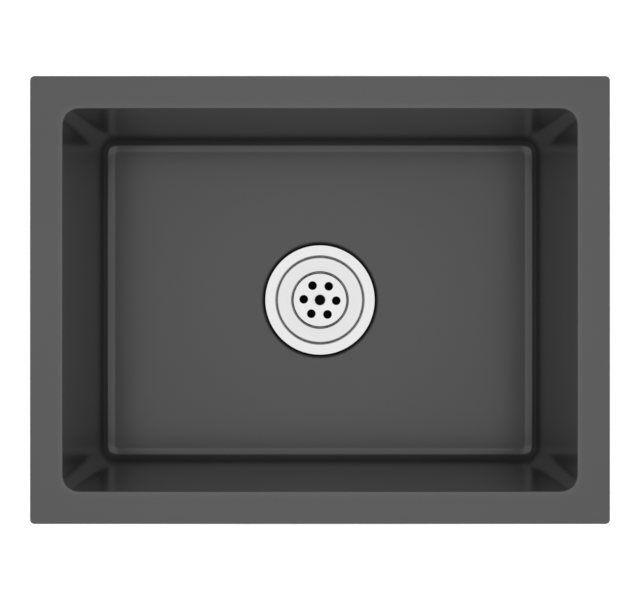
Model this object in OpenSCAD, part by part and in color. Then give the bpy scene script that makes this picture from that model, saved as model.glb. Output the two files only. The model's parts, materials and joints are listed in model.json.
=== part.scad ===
// A single-bowl undermount kitchen sink in coated stainless sheet, with its basket strainer waste.
// Lengths are in millimetres. The origin is the middle of the bowl's opening, level with the top
// face of the flange, which is the face that is bonded to the worktop. X runs along the bowl's
// length, Y from front to back, and Z up.

/* [Bowl] */
// Length of the bowl's opening, along X
bowl_w = 453; // [400:1:700]
// Width of the bowl's opening, along Y
bowl_d = 337; // [312:1:420]
// Depth from the flange's top face to the edge of the floor
bowl_depth = 200; // [150:1:240]
// Thickness of the stainless sheet
sheet = 1.2; // [0.8:0.1:1.5]
// Width of the flat flange round the opening
flange_w = 28.5; // [20:0.5:40]
// Plan radius of the flange's outer corners
flange_corner_r = 4; // [1:0.5:12]
// Radius of the bowl's upright corners at the mouth
corner_r = 15; // [15:0.5:22]
// How far each wall leans in on its way from the mouth to the floor
draft = 4; // [0:0.5:4]
// Outer radius of the bend from the flange into the wall
mouth_r = 2; // [1.7:0.1:4]
// Inner radius of the bend from the wall into the floor
floor_r = 10.5; // [6:0.5:10.5]
// How far the floor falls from its flat edge to the waste
fall = 1.5; // [0.5:0.1:3]
// Radius round the waste at which the fall begins
fall_reach = 130; // [100:1:132]

/* [Waste seat] */
// Diameter of the waste hole in the floor
hole_d = 93; // [89:0.5:94]
// Depth of the pressed seat round the hole
seat_drop = 2.4; // [2.2:0.1:4]
// Flat left between the flange seal and the step down to the seat
seat_margin = 0.3; // [0.2:0.1:2]
// Slope of the step, in degrees
step_tilt = 58; // [45:1:70]
// Radius of the bend at the foot of the step
step_foot_r = 0.5; // [0.3:0.1:1.2]

/* [Sound pads] */
// Thickness of the rubber pads
pad_t = 3; // [1.5:0.5:5]
// Height of the four side pads
side_pad_h = 120; // [60:1:130]
// Length of the front and back pads
long_pad_w = 320; // [150:1:360]
// Length of the left and right pads
short_pad_w = 220; // [100:1:270]
// Drop from the flange's top face to the top edge of the side pads
pad_drop = 36; // [10:1:50]
// Corner radius of the pads
pad_corner_r = 12; // [3:0.5:25]
// Length of the base pad, along X
base_pad_w = 390; // [290:1:420]
// Width of the base pad, along Y
base_pad_d = 276; // [270:1:302]
// Radius of the base pad's cut-out round the waste
base_pad_hole_r = 76; // [70:1:95]

/* [Strainer body] */
// Diameter of the body's flange
body_flange_d = 113.5; // [108:0.5:118]
// Thickness of the body's sheet
body_wall = 0.8; // [0.6:0.1:1.2]
// Clearance all round between the body's neck and the hole
neck_gap = 0.7; // [0.3:0.1:1.5]
// Outer radius of the bend from the flange into the neck
shoulder_r = 3; // [1.3:0.1:4]
// Depth from the flange's top to the seat of the stopper
cup_depth = 34.5; // [32:0.5:40]
// Rise of the cup's sloping floor, from the stopper seat to the neck
cup_rise = 5; // [3:0.5:8]
// Radius of the level seat round the outlet
seat_r = 28; // [27:0.5:32]
// Radius of the bend from the neck into the cup's sloping floor
cup_bend_r = 5; // [2:0.5:8]
// Radius of the bend from the sloping floor into the level seat
seat_bend_r = 2; // [1:0.5:6]
// Inner radius of the outlet
outlet_r = 21; // [19.5:0.5:22]
// Outer radius of the threaded outlet collar
collar_r = 23.9; // [23.5:0.1:26]
// Length of the outlet collar below the cup
collar_h = 18; // [15:0.5:24]
// Inner radius of the collar under the guide's ledge
ledge_r = 19; // [17.5:0.5:19]

/* [Seals and nuts] */
// How far the flange seal shows past the body's flange
seal_show = 0.8; // [0.5:0.1:3]
// Thickness of the flange seal
flange_seal_t = 1.6; // [1:0.1:3]
// Thickness of the rubber washer under the floor
floor_seal_t = 4; // [2:0.5:6]
// Outer radius of the washer under the floor
floor_seal_r = 56; // [50:0.5:57.5]
// Thickness of the fibre slip ring
slip_ring_t = 1.2; // [0.5:0.1:2]
// Height of the locknut
locknut_h = 12; // [8:0.5:15]
// Outer radius of the locknut's rim
locknut_r = 54; // [50:0.5:60]
// How far the locknut's lugs stand out
lug_reach = 5; // [2:0.5:8]
// Number of lugs on the locknut
lug_count = 8; // [4:1:12]
// Running clearance of a thread or a sleeve, all round
slack = 0.15; // [0.1:0.05:0.3]
// Thickness of the washer under the outlet collar
outlet_seal_t = 2; // [1:0.5:3]
// Height of the coupling nut
coupling_h = 19; // [16:0.5:22]
// Wall of the coupling nut
coupling_wall = 4; // [2.5:0.5:6]
// Thickness of the lip that holds the tailpiece
lip_t = 2.6; // [1.5:0.1:4]
// Number of grip ribs on the coupling nut
rib_count = 10; // [6:1:16]
// Outer radius of the tailpiece
tail_r = 20; // [18:0.5:20.5]
// Wall of the tailpiece
tail_wall = 2; // [1:0.1:3]
// Length of the tailpiece below its flange
tail_h = 60; // [40:1:120]
// Thickness of the tailpiece's flange
tail_flange_t = 2.5; // [1.5:0.1:4]

/* [Basket] */
// Clearance all round between the basket's rim and the neck
basket_gap = 0.5; // [0.3:0.1:1.5]
// Drop from the body's flange to the basket's rim
basket_drop = 1.2; // [0.5:0.1:3]
// Thickness of the basket's sheet
basket_wall = 0.8; // [0.5:0.1:1]
// Height of the skirt at the basket's rim
skirt_h = 3; // [2:0.5:6]
// Outer radius of the bend from the skirt into the rim
rim_bend = 1.9; // [1:0.1:2.5]
// How far the rim falls towards the well
rim_fall = 1.3; // [0.3:0.1:2]
// Inner radius of the basket's well
well_r = 28.7; // [24:0.1:34]
// Depth of the well below the rim
well_depth = 22; // [16:0.5:23]
// Bend radius at the well's edges
well_bend = 1.7; // [1:0.1:2.5]
// Diameter of the holes in the well's floor
drain_hole_d = 8.2; // [5:0.1:9]
// Radius of the ring of drain holes
drain_ring_r = 17.1; // [14:0.1:19]
// Number of drain holes round the knob
drain_count = 6; // [5:1:8]
// Turn of the ring of drain holes at rest, in degrees
drain_turn = -2.5; // [-30:0.5:30]
// Diameter of the small holes in the well's wall
side_hole_d = 3.2; // [2:0.1:4]
// Number of small holes in each row
side_count = 20; // [8:1:24]

/* [Stopper and knob] */
// Radius of the knob's head
knob_r = 5.25; // [4.5:0.05:9]
// Height of the knob
knob_h = 13; // [9:0.5:18]
// Radius of the post
post_r = 3; // [2.6:0.1:4]
// Clearance all round between the post and the basket
spin_gap = 0.1; // [0.05:0.05:0.3]
// Outer radius of the rubber stopper
stopper_r = 25.5; // [23.5:0.5:26.5]
// Height of the rubber stopper
stopper_h = 8; // [6:0.5:8]
// Drop from the stopper seat to the post's guide
guide_drop = 10.5; // [9:0.5:12]
// Thickness of the post's guide
guide_t = 1.5; // [1:0.1:3]
// Clearance all round between the clip and the guide's hole
clip_gap = 0.2; // [0.1:0.05:0.5]
// Radius of the clip at its bulge, pressed in
clip_r = 4.6; // [4.2:0.1:6]
// How far the clip reaches below the guide
clip_reach = 9; // [7:0.5:12]

/* [Hidden] */
$fn = 96;

// Finishes
GUNMETAL = [0.33, 0.33, 0.34];
STEEL = [0.86, 0.86, 0.87];
RUBBER = [0.08, 0.08, 0.08];
FIBRE = [0.62, 0.50, 0.36];
ZINC = [0.62, 0.63, 0.65];
NYLON = [0.85, 0.84, 0.80];

// Half spacings of the bowl's corner centres, and the walls' lean from upright
corner_x = bowl_w / 2 - corner_r;
corner_y = bowl_d / 2 - corner_r;
lean = atan(draft / bowl_depth);

// Levels of the sink's floor and seat
floor_z = -bowl_depth;
low_z = floor_z - fall;
seat_z = low_z - seat_drop;
under_z = seat_z - sheet;

// Radii of the flange, of its seal and of the pressed seat that holds them
flange_r = body_flange_d / 2;
seal_r = flange_r + seal_show;
seat_flat_r = seal_r + seat_margin;

// The step's two bends: the upper one takes what the foot leaves of the slope, but for a short
// straight, and then come the corners that they round and where the upper one starts
step_straight = 0.1;
step_r = (seat_drop / sin(step_tilt) - step_straight) / tan(step_tilt / 2) - step_foot_r;
step_foot = seat_flat_r + step_foot_r * tan(step_tilt / 2);
step_top = step_foot + seat_drop / tan(step_tilt);
step_land = 0.5;
fall_end = step_top + step_r * tan(step_tilt / 2) + step_land;

// Levels and radii of the strainer body
flange_under_z = seat_z + flange_seal_t;
flange_top_z = flange_under_z + body_wall;
neck_out_r = hole_d / 2 - neck_gap;
neck_r = neck_out_r - body_wall;
cup_floor_z = flange_top_z - cup_depth;
collar_top_z = cup_floor_z - body_wall;
collar_z = collar_top_z - collar_h;
guide_z = cup_floor_z - guide_drop;
ledge_z = guide_z - guide_t;

// The stack of seals and nuts under the floor
floor_seal_z = under_z - floor_seal_t;
slip_z = floor_seal_z - slip_ring_t;
locknut_z = slip_z - locknut_h;
seal_inset = 0.5;
tail_flange_z = collar_z - outlet_seal_t;
tail_top_z = tail_flange_z - tail_flange_t;
tail_neck_h = 6;
tail_neck_cut = 0.3;
coupling_z = tail_top_z - lip_t;
thread_chamfer = 1;

// The basket, at rest on its stopper
rim_z = flange_top_z - basket_drop;
rim_r = neck_r - basket_gap;
well_edge_z = rim_z - rim_fall;
well_z = rim_z - well_depth;
well_under_z = well_z - basket_wall;
side_rows = [0.38, 0.68];

// The stopper and everything on its post
shoulder_z = cup_floor_z + stopper_h;
shoulder_top_z = well_under_z - spin_gap;
post_shoulder_r = post_r + 3;
knob_z = well_z + spin_gap;
knob_foot_r = 0.86 * knob_r;
knob_waist_r = 0.68 * knob_r;
stud_r = post_r - 0.6;
stud_h = knob_h - 4;
hollow_h = 1.5;
hollow_r = 19;
stopper_edge_h = 3.2;
stopper_hub_r = 9;
washer_t = 1;
washer_r = 8.5;
nut_h = 5;
nut_flats = 10;
washer_z = cup_floor_z + hollow_h - washer_t;
nut_z = washer_z - nut_h;
clip_top_z = nut_z - 2;
clip_end_z = ledge_z - clip_reach;
clip_neck_r = clip_r - 0.6;
clip_slot = 1;
foot_r = 2.4;
rivet_h = 1;
rivet_r = foot_r + 0.8;
guide_hub_r = clip_r + clip_gap + 3.6;
guide_spoke = 5;
guide_spokes = 3;
guide_ring = 3;

// Outlines: a pressed part is one line along its face, its bends, and an even thickness

function unit(v) = v / norm(v);

function left_of(v) = [-v[1], v[0]];

// Points of the bend of radius r that rounds the corner b between a and c
function bend_points(a, b, c, r, steps) =
    let (
        u = unit(a - b),
        v = unit(c - b),
        half = acos(u * v) / 2,
        centre = b + unit(u + v) * r / sin(half),
        start = b + u * r / tan(half) - centre,
        finish = b + v * r / tan(half) - centre,
        a0 = atan2(start[1], start[0]),
        full = atan2(finish[1], finish[0]) - a0,
        turn = full > 180 ? full - 360 : full < -180 ? full + 360 : full
    )
    [for (i = [0 : steps]) centre + r * [cos(a0 + turn * i / steps), sin(a0 + turn * i / steps)]];

// A line through the points p, each inner corner rounded with its own radius
function bent_line(p, radii, steps = 6) =
    concat(
        [p[0]],
        [for (i = [1 : len(p) - 2])
            each (radii[i] > 0 ? bend_points(p[i - 1], p[i], p[i + 1], radii[i], steps) : [p[i]])],
        [p[len(p) - 1]]
    );

// The point of the line shifted to its left by t
function shifted_point(p, i, t) =
    let (
        last = len(p) - 1,
        before = unit(i > 0 ? p[i] - p[i - 1] : p[1] - p[0]),
        after = unit(i < last ? p[i + 1] - p[i] : p[last] - p[last - 1]),
        mid = unit(left_of(before) + left_of(after))
    )
    p[i] + mid * t / (mid * left_of(before));

function shifted_line(p, t) = [for (i = [0 : len(p) - 1]) shifted_point(p, i, t)];

function reversed(p) = [for (i = [len(p) - 1 : -1 : 0]) p[i]];

// The outline of a sheet of thickness t on the left of the line
function sheet_outline(p, t) = concat(p, reversed(shifted_line(p, t)));

// Two equal arcs from p to q, level at both ends
function s_curve(p, q, steps) =
    let (
        run = q[0] - p[0],
        drop = q[1] - p[1],
        turn = 2 * atan(abs(drop / run)),
        r = abs(run) / (2 * sin(turn)),
        first = [for (i = [0 : steps])
            let (a = turn * i / steps)
            [p[0] + sign(run) * r * sin(a), p[1] + sign(drop) * r * (1 - cos(a))]],
        second = [for (i = [steps - 1 : -1 : 0])
            let (a = turn * i / steps)
            [q[0] - sign(run) * r * sin(a), q[1] - sign(drop) * r * (1 - cos(a))]]
    )
    concat(first, second);

module rounded_rect(w, d, r) {
    square([w - 2 * r, d], center = true);
    square([w, d - 2 * r], center = true);
    for (x = [-1, 1], y = [-1, 1])
        translate([x * (w / 2 - r), y * (d / 2 - r)]) circle(r);
}

// A flat ring that stands on z
module ring(outer, inner, z, h) {
    translate([0, 0, z]) difference() {
        cylinder(r = outer, h = h);
        translate([0, 0, -1]) cylinder(r = inner, h = h + 2);
    }
}

// Sink bowl

// The bowl's wall, measured outwards from the line through the corner centres
mouth_reach = mouth_r + sheet;
wall_line = bent_line(
    [
        [corner_r + mouth_reach, 0],
        [corner_r, 0],
        [corner_r - draft, floor_z],
        [0, floor_z]
    ],
    [0, mouth_r, floor_r, 0],
    8
);

module wall_section() {
    polygon(sheet_outline(wall_line, sheet));
}

module straight_wall(offset, length) {
    translate([offset, 0, 0]) rotate([90, 0, 0])
        linear_extrude(length, center = true) wall_section();
}

module bowl_walls() {
    for (turn = [0, 180]) {
        rotate(turn) straight_wall(corner_x, 2 * corner_y);
        rotate(turn + 90) straight_wall(corner_y, 2 * corner_x);
    }
    for (x = [0, 1], y = [0, 1])
        mirror([x, 0, 0]) mirror([0, y, 0]) translate([corner_x, corner_y, 0])
            rotate_extrude(angle = 90) wall_section();
}

module flange_plate() {
    translate([0, 0, -sheet]) linear_extrude(sheet) difference() {
        rounded_rect(bowl_w + 2 * flange_w, bowl_d + 2 * flange_w, flange_corner_r);
        rounded_rect(bowl_w + 2 * mouth_reach, bowl_d + 2 * mouth_reach, corner_r + mouth_reach);
    }
}

// The floor's face from the start of the fall to the edge of the waste hole
fall_line = concat(
    s_curve([fall_reach, floor_z], [fall_end, low_z], 8),
    bend_points([fall_end, low_z], [step_top, low_z], [step_foot, seat_z], step_r, 8),
    bend_points([step_top, low_z], [step_foot, seat_z], [hole_d / 2, seat_z], step_foot_r, 4),
    [[hole_d / 2, seat_z]]
);

module bowl_floor() {
    difference() {
        translate([-corner_x, -corner_y, floor_z - sheet])
            cube([2 * corner_x, 2 * corner_y, sheet]);
        translate([0, 0, floor_z - 2 * sheet]) cylinder(r = fall_reach, h = 3 * sheet);
    }
    rotate_extrude() polygon(sheet_outline(fall_line, sheet));
}

module sink_bowl() {
    color(GUNMETAL) union() {
        flange_plate();
        bowl_walls();
        bowl_floor();
    }
}

// Sound pads

module side_pad(wall, length) {
    color(RUBBER)
        translate([wall + sheet / cos(lean), 0, 0]) rotate([0, lean, 0])
            translate([0, 0, -pad_drop - side_pad_h / 2]) rotate([90, 0, 90])
                linear_extrude(pad_t) rounded_rect(length, side_pad_h, pad_corner_r);
}

module pad_right() { side_pad(bowl_w / 2, short_pad_w); }
module pad_left() { rotate(180) side_pad(bowl_w / 2, short_pad_w); }
module pad_back() { rotate(90) side_pad(bowl_d / 2, long_pad_w); }
module pad_front() { rotate(-90) side_pad(bowl_d / 2, long_pad_w); }

// The part of the floor's underside that the base pad is stuck to
pad_line = shifted_line(s_curve([fall_reach, floor_z], [fall_end, low_z], 8), sheet);

module pad_base() {
    color(RUBBER) intersection() {
        difference() {
            union() {
                difference() {
                    translate([-base_pad_w / 2, -base_pad_d / 2, floor_z - sheet - pad_t])
                        cube([base_pad_w, base_pad_d, pad_t]);
                    translate([0, 0, floor_z - bowl_depth / 2])
                        cylinder(r = pad_line[0][0], h = bowl_depth);
                }
                rotate_extrude() polygon(sheet_outline(pad_line, pad_t));
            }
            translate([0, 0, floor_z - bowl_depth / 2])
                cylinder(r = base_pad_hole_r, h = bowl_depth);
        }
        translate([0, 0, floor_z - bowl_depth / 2])
            linear_extrude(bowl_depth) rounded_rect(base_pad_w, base_pad_d, pad_corner_r);
    }
}

// Strainer body and what clamps it to the floor

body_line = bent_line(
    [
        [flange_r, flange_top_z],
        [neck_r, flange_top_z],
        [neck_r, cup_floor_z + cup_rise],
        [seat_r, cup_floor_z],
        [outlet_r, cup_floor_z]
    ],
    [0, shoulder_r, cup_bend_r, seat_bend_r, 0]
);

module strainer_body() {
    color(STEEL) union() {
        rotate_extrude() polygon(sheet_outline(body_line, body_wall));
        ring(collar_r, outlet_r, ledge_z, collar_top_z - ledge_z);
        ring(collar_r, ledge_r, collar_z, ledge_z - collar_z);
    }
}

module flange_gasket() {
    color(RUBBER) ring(seal_r, neck_out_r + seal_inset + shoulder_r, seat_z, flange_seal_t);
}

module floor_gasket() {
    color(RUBBER) ring(floor_seal_r, neck_out_r + seal_inset, floor_seal_z, floor_seal_t);
}

module slip_ring() {
    color(FIBRE) ring(floor_seal_r - 1, neck_out_r + seal_inset, slip_z, slip_ring_t);
}

module locknut() {
    lug_w = 9;
    color(ZINC) difference() {
        union() {
            translate([0, 0, locknut_z]) cylinder(r = locknut_r, h = locknut_h);
            for (i = [0 : lug_count - 1])
                rotate(360 * i / lug_count) translate([0, -lug_w / 2, locknut_z])
                    cube([locknut_r + lug_reach, lug_w, locknut_h]);
        }
        translate([0, 0, locknut_z - 1]) cylinder(r = neck_out_r + slack, h = locknut_h + 2);
        // A shallow pocket leaves the rim and a thinner web, as in a die casting
        pocket_edge = 3;
        translate([0, 0, locknut_z - 1]) difference() {
            cylinder(r = locknut_r - pocket_edge, h = locknut_h / 2 + 1);
            translate([0, 0, -1]) cylinder(r = neck_out_r + pocket_edge, h = locknut_h);
            for (i = [0 : lug_count - 1])
                rotate(360 * i / lug_count) translate([0, -pocket_edge / 2, -1])
                    cube([locknut_r, pocket_edge, locknut_h]);
        }
    }
}

module post_guide() {
    guide_r = outlet_r - 0.1;
    color(STEEL) difference() {
        union() {
            ring(guide_r, guide_r - guide_ring, ledge_z, guide_t);
            translate([0, 0, ledge_z]) cylinder(r = guide_hub_r, h = guide_t);
            for (i = [0 : guide_spokes - 1])
                rotate(360 * i / guide_spokes) translate([0, -guide_spoke / 2, ledge_z])
                    cube([guide_r - guide_ring / 2, guide_spoke, guide_t]);
        }
        translate([0, 0, ledge_z - 1]) cylinder(r = clip_r + clip_gap, h = guide_t + 2);
    }
}

module outlet_washer() {
    color(RUBBER) ring(collar_r - seal_inset, ledge_r - seal_inset, tail_flange_z, outlet_seal_t);
}

module tailpiece() {
    bore = tail_r - tail_wall;
    color(STEEL) rotate_extrude() polygon([
        [bore, tail_flange_z],
        [collar_r - seal_inset, tail_flange_z],
        [collar_r - seal_inset, tail_top_z],
        [tail_r - tail_neck_cut, tail_top_z],
        [tail_r - tail_neck_cut, tail_top_z - tail_neck_h],
        [tail_r, tail_top_z - tail_neck_h - tail_neck_cut],
        [tail_r, tail_top_z - tail_h],
        [bore, tail_top_z - tail_h]
    ]);
}

module coupling_nut() {
    thread_r = collar_r + slack;
    nut_r = thread_r + coupling_wall;
    rib_w = 4;
    rib_reach = 1.6;
    rib_stop = 3;
    color(ZINC) difference() {
        union() {
            translate([0, 0, coupling_z]) cylinder(r = nut_r, h = coupling_h);
            for (i = [0 : rib_count - 1])
                rotate(360 * i / rib_count) translate([0, -rib_w / 2, coupling_z])
                    cube([nut_r + rib_reach, rib_w, coupling_h - rib_stop]);
        }
        translate([0, 0, tail_top_z]) cylinder(r = thread_r, h = coupling_h);
        translate([0, 0, coupling_z - 1]) cylinder(r = tail_r + 2 * slack, h = coupling_h);
        translate([0, 0, coupling_z + coupling_h - thread_chamfer])
            cylinder(r1 = thread_r, r2 = thread_r + 2 * thread_chamfer, h = 2 * thread_chamfer);
    }
}

// Basket and stopper

basket_line = bent_line(
    [
        [rim_r, rim_z - skirt_h],
        [rim_r, rim_z],
        [well_r, well_edge_z],
        [well_r, well_z],
        [post_r + spin_gap, well_z]
    ],
    [0, rim_bend, well_bend, well_bend, 0]
);

module strainer_basket() {
    color(STEEL) difference() {
        rotate_extrude() polygon(sheet_outline(basket_line, basket_wall));
        for (i = [0 : drain_count - 1])
            rotate(drain_turn + 360 * i / drain_count)
                translate([drain_ring_r, 0, well_under_z - 1])
                    cylinder(d = drain_hole_d, h = basket_wall + 2);
        for (row = [0, 1], i = [0 : side_count - 1])
            rotate(360 * (i + row / 2) / side_count)
                translate([0, 0, well_edge_z - side_rows[row] * (well_edge_z - well_z)])
                    rotate([0, 90, 0]) translate([0, 0, well_r - 2])
                        cylinder(d = side_hole_d, h = basket_wall + 4);
    }
}

module knob() {
    crown = 2;
    waist_z = 0.45;
    color(RUBBER) difference() {
        translate([0, 0, knob_z]) rotate_extrude() polygon(concat(
            [[0, 0], [knob_foot_r, 0], [knob_foot_r, 1.5], [knob_waist_r, waist_z * knob_h]],
            [[knob_r, knob_h - 2 * crown]],
            [for (a = [0 : 15 : 90]) [knob_r - crown + crown * cos(a), knob_h - crown + crown * sin(a)]],
            [[0, knob_h]]
        ));
        translate([0, 0, knob_z - 1]) cylinder(r = stud_r, h = stud_h + 1);
    }
}

module post() {
    color(STEEL) rotate_extrude() polygon([
        [0, knob_z + stud_h],
        [stud_r, knob_z + stud_h],
        [stud_r, knob_z],
        [post_r, knob_z],
        [post_r, shoulder_top_z],
        [post_shoulder_r, shoulder_top_z],
        [post_shoulder_r, shoulder_z],
        [post_r, shoulder_z],
        [post_r, clip_top_z],
        [foot_r, clip_top_z],
        [foot_r, clip_end_z],
        [rivet_r, clip_end_z],
        [rivet_r, clip_end_z - rivet_h / 2],
        [foot_r, clip_end_z - rivet_h],
        [0, clip_end_z - rivet_h]
    ]);
}

module stopper() {
    lip = 1;
    color(RUBBER) rotate_extrude() polygon([
        [post_r, cup_floor_z + hollow_h],
        [hollow_r, cup_floor_z + hollow_h],
        [outlet_r + lip, cup_floor_z],
        [stopper_r - lip, cup_floor_z],
        [stopper_r, cup_floor_z + lip],
        [stopper_r - lip / 2, cup_floor_z + stopper_edge_h],
        [stopper_hub_r + 2, shoulder_z - lip],
        [stopper_hub_r, shoulder_z],
        [post_r, shoulder_z]
    ]);
}

module stopper_washer() {
    color(STEEL) ring(washer_r, post_r, washer_z, washer_t);
}

module stopper_nut() {
    color(STEEL) translate([0, 0, nut_z]) difference() {
        cylinder(r = nut_flats / sqrt(3), h = nut_h, $fn = 6);
        translate([0, 0, -1]) cylinder(r = post_r, h = nut_h + 2);
    }
}

module detent_clip() {
    bulge_z = ledge_z - 3;
    color(NYLON) difference() {
        rotate_extrude() polygon([
            [foot_r, clip_end_z],
            [clip_neck_r - 0.6, clip_end_z],
            [clip_r, bulge_z - 1.5],
            [clip_r, bulge_z],
            [clip_neck_r, bulge_z + 2],
            [clip_neck_r, clip_top_z],
            [foot_r, clip_top_z]
        ]);
        for (turn = [0, 90])
            rotate(turn) translate([-2 * clip_r, -clip_slot / 2, clip_end_z - 1])
                cube([4 * clip_r, clip_slot, clip_top_z - clip_end_z - 1.5]);
    }
}

sink_bowl();
pad_front();
pad_back();
pad_left();
pad_right();
pad_base();
strainer_body();
flange_gasket();
floor_gasket();
slip_ring();
locknut();
post_guide();
outlet_washer();
tailpiece();
coupling_nut();
strainer_basket();
knob();
post();
stopper();
stopper_washer();
stopper_nut();
detent_clip();
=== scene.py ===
# %% [markdown]
# # A coated sink bowl and its basket strainer
#
# This lesson dresses a kitchen sink. The bowl is one pressed sheet with a dark coating, and the
# waste in its floor is a stack of turned, pressed and moulded parts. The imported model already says
# where every part is and how it moves, so each finished piece is built at its real place, in the
# same frame, and rides on the body that carries it.

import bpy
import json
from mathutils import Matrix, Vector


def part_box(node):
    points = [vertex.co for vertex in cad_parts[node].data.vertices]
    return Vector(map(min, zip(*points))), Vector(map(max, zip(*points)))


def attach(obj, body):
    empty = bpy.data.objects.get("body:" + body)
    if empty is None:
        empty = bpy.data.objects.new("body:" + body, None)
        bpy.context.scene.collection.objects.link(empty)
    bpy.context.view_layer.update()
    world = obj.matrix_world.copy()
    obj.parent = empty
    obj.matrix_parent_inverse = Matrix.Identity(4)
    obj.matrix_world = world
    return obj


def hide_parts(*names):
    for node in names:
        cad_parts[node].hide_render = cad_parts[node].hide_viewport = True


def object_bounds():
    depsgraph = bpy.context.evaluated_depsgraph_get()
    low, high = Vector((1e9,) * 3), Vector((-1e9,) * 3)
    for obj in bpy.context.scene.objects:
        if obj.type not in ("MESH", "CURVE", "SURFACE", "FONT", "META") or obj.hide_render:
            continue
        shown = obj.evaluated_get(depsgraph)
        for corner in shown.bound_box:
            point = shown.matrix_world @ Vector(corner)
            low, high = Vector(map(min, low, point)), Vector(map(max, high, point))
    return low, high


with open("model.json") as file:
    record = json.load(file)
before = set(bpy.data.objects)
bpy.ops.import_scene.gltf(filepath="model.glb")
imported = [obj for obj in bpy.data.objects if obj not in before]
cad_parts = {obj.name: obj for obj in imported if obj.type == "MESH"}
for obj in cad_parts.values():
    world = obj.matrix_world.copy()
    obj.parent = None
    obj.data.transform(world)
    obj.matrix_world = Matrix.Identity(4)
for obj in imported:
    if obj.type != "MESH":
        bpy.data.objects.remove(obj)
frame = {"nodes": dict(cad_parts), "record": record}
cad_low, cad_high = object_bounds()
bodies = frame["record"]["behaviour"]["bodies"]
print("bodies:", {name: len(nodes) for name, nodes in bodies.items()})

# %% [markdown]
# ## Levels and sizes
#
# A sink is drawn in millimetres, and Blender works in metres. Every piece is modelled in
# millimetres and scaled once, when it becomes an object. The levels are read from the frame, so
# the finished pieces stay where the solids are. Most radii are named sizes, because the round
# solids in the frame are slightly faceted, so their boxes can be a little small.

# %% Levels of the sink, from the top down
import json
import math

import bmesh
import bpy
from mathutils import Matrix, Vector

MM = 0.001


def low(node):
    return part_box(node)[0] / MM


def high(node):
    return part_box(node)[1] / MM


SHEET = 1.2
FLANGE_X, FLANGE_Y = high("sink_bowl").xy
FLOOR_Z = high("pad_base").z + SHEET
SEAT_Z = low("flange_gasket").z
STRAINER_Z = high("strainer_body").z
print(f"flange {2 * FLANGE_X:.1f} x {2 * FLANGE_Y:.1f} mm, floor at {FLOOR_Z:.1f}, seat at {SEAT_Z:.1f}")

# %% [markdown]
# ## Drawing a profile
#
# Almost everything here is a profile that is spun or pulled along. A profile is a few corner
# points in the XZ plane, each with the radius of its bend. The vertex bevel rounds a corner of a
# bare wire just as it rounds a corner of a face, so no arc has to be worked out by hand: a bend of
# radius r that turns by an angle needs the offset r * tan(angle / 2).

# %% Profiles
def bevel(bm, geom, size, segments, affect, clamp=False):
    bmesh.ops.bevel(
        bm, geom=geom, offset=size, offset_type="OFFSET", segments=segments, profile=0.5,
        affect=affect, clamp_overlap=clamp, material=-1)


def draw(bm, points, closed=False, segments=6):
    """Draws a wire through (x, z) or (x, z, bend radius) points and rounds its bends."""
    verts = [bm.verts.new((point[0], 0, point[1])) for point in points]
    pairs = list(zip(verts, verts[1:])) + ([(verts[-1], verts[0])] if closed else [])
    for pair in pairs:
        bm.edges.new(pair)
    for vert, point in zip(verts, points):
        if len(point) < 3:
            continue
        sides = [edge.other_vert(vert).co - vert.co for edge in vert.link_edges]
        turn = math.pi - sides[0].angle(sides[1])
        bevel(bm, [vert], point[2] * math.tan(turn / 2), segments, "VERTICES")


elbow = bmesh.new()
draw(elbow, [(0, 0), (5, 0, 1), (5, 5)])
print("a rounded elbow has", len(elbow.verts), "points")
elbow.free()

# %% Spins
TINY = 1e-3
ALL_ROUND = math.tau


def spin(bm, steps, angle=ALL_ROUND, rise=0.0):
    """Spins the wire about Z and gives back its last edges. A rise makes a screw."""
    full = rise == 0 and abs(angle - ALL_ROUND) < TINY
    result = bmesh.ops.spin(
        bm, geom=bm.verts[:] + bm.edges[:], cent=(0, 0, 0), axis=(0, 0, 1),
        dvec=(0, 0, rise / steps), angle=angle, steps=steps, use_merge=full, use_duplicate=False)
    return [item for item in result["geom_last"] if isinstance(item, bmesh.types.BMEdge)]


def tidy(bm, up=False):
    """Closes seams and poles and turns the faces outwards, or up on a bare sheet."""
    bmesh.ops.remove_doubles(bm, verts=bm.verts, dist=TINY)
    bmesh.ops.dissolve_degenerate(bm, edges=bm.edges, dist=TINY / 10)
    bmesh.ops.recalc_face_normals(bm, faces=bm.faces)
    top = max(bm.faces, key=lambda face: face.calc_center_median().z)
    if up and top.normal.z < 0:
        bmesh.ops.reverse_faces(bm, faces=bm.faces)


def spun(points, steps, closed=False, segments=6):
    """A bare surface of revolution."""
    bm = bmesh.new()
    draw(bm, points, closed, segments)
    spin(bm, steps)
    return bm


def turned(points, steps=128, closed=True, segments=4):
    """A solid of revolution from its half section."""
    bm = spun(points, steps, closed, segments)
    tidy(bm)
    return bm


trial = turned([(5, 0, 0.2), (6, 0, 0.2), (6, 1, 0.2), (5, 1, 0.2)], steps=12)
print("a ring of 12 steps has", len(trial.faces), "faces")
trial.free()

# %% [markdown]
# ## Small helpers for sheet and edges
#
# Pressed sheet could be drawn with both its faces, but then every bend has two radii to keep in
# step. So only the face that shows is modelled, and it gets its thickness last, even round every
# bend. No edge of a real part is perfectly sharp: `ease` breaks sharp edges with a small bevel,
# which is what catches the light.

# %% Joining, thickening and easing
SHARP = math.radians(50)


def verts_of(geom):
    return [item for item in geom if isinstance(item, bmesh.types.BMVert)]


def move(bm, vec, verts=None):
    bmesh.ops.translate(bm, vec=vec, verts=verts or bm.verts)


def join(bm, part):
    """Adds another bmesh to this one."""
    holder = bpy.data.meshes.new("holder")
    part.to_mesh(holder)
    part.free()
    bm.from_mesh(holder)
    bpy.data.meshes.remove(holder)


def around(radius, angle, z=0.0):
    """A point at an angle round the axis."""
    return Vector((radius * math.cos(angle), radius * math.sin(angle), z))


def add_circle(bm, middle, radius, segments=40):
    bmesh.ops.create_circle(bm, segments=segments, radius=radius, matrix=Matrix.Translation(middle))


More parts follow.
